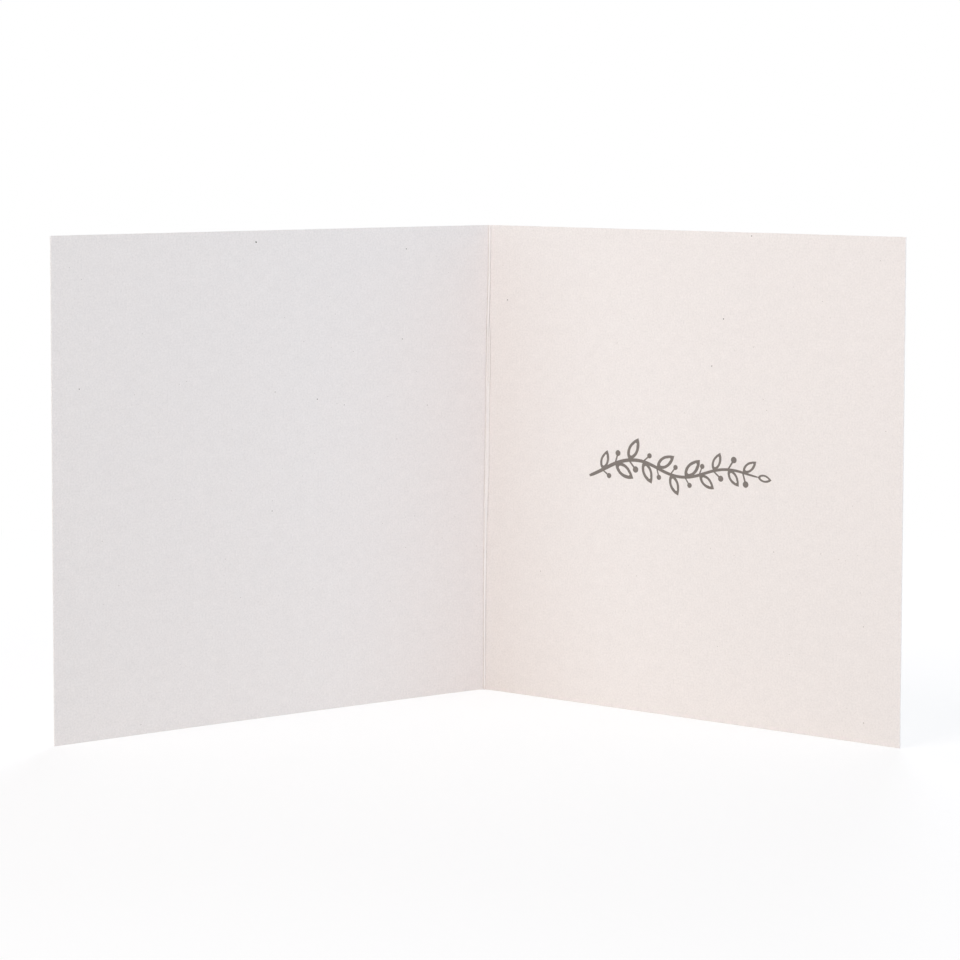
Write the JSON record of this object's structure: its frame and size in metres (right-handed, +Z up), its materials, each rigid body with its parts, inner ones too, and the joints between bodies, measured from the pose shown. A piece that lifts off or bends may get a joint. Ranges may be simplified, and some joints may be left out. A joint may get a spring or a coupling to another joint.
{
  "type": "greeting card",
  "caption": "Square greeting card folded once from a single sheet of uncoated board, standing open in a wide V with its inside to the front.",
  "frame": {"origin": "foot of the fold, in the middle of the board's thickness, on the surface that the card stands on", "axes": "+Z up along the card's height, +Y away from the viewer so that the fold lies at the back and the leaves open towards -Y, +X to the viewer's right"},
  "size_m": [0.2483, 0.0871, 0.15],
  "materials": {
    "uncoated_board": "matt uncoated off-white board with a fine fibre grain",
    "printed_ink": "thin matt warm-grey ink of a small printed sprig"
  },
  "bodies": {
    "root": {"folded_card": "uncoated_board"}
  },
  "joints": []
}
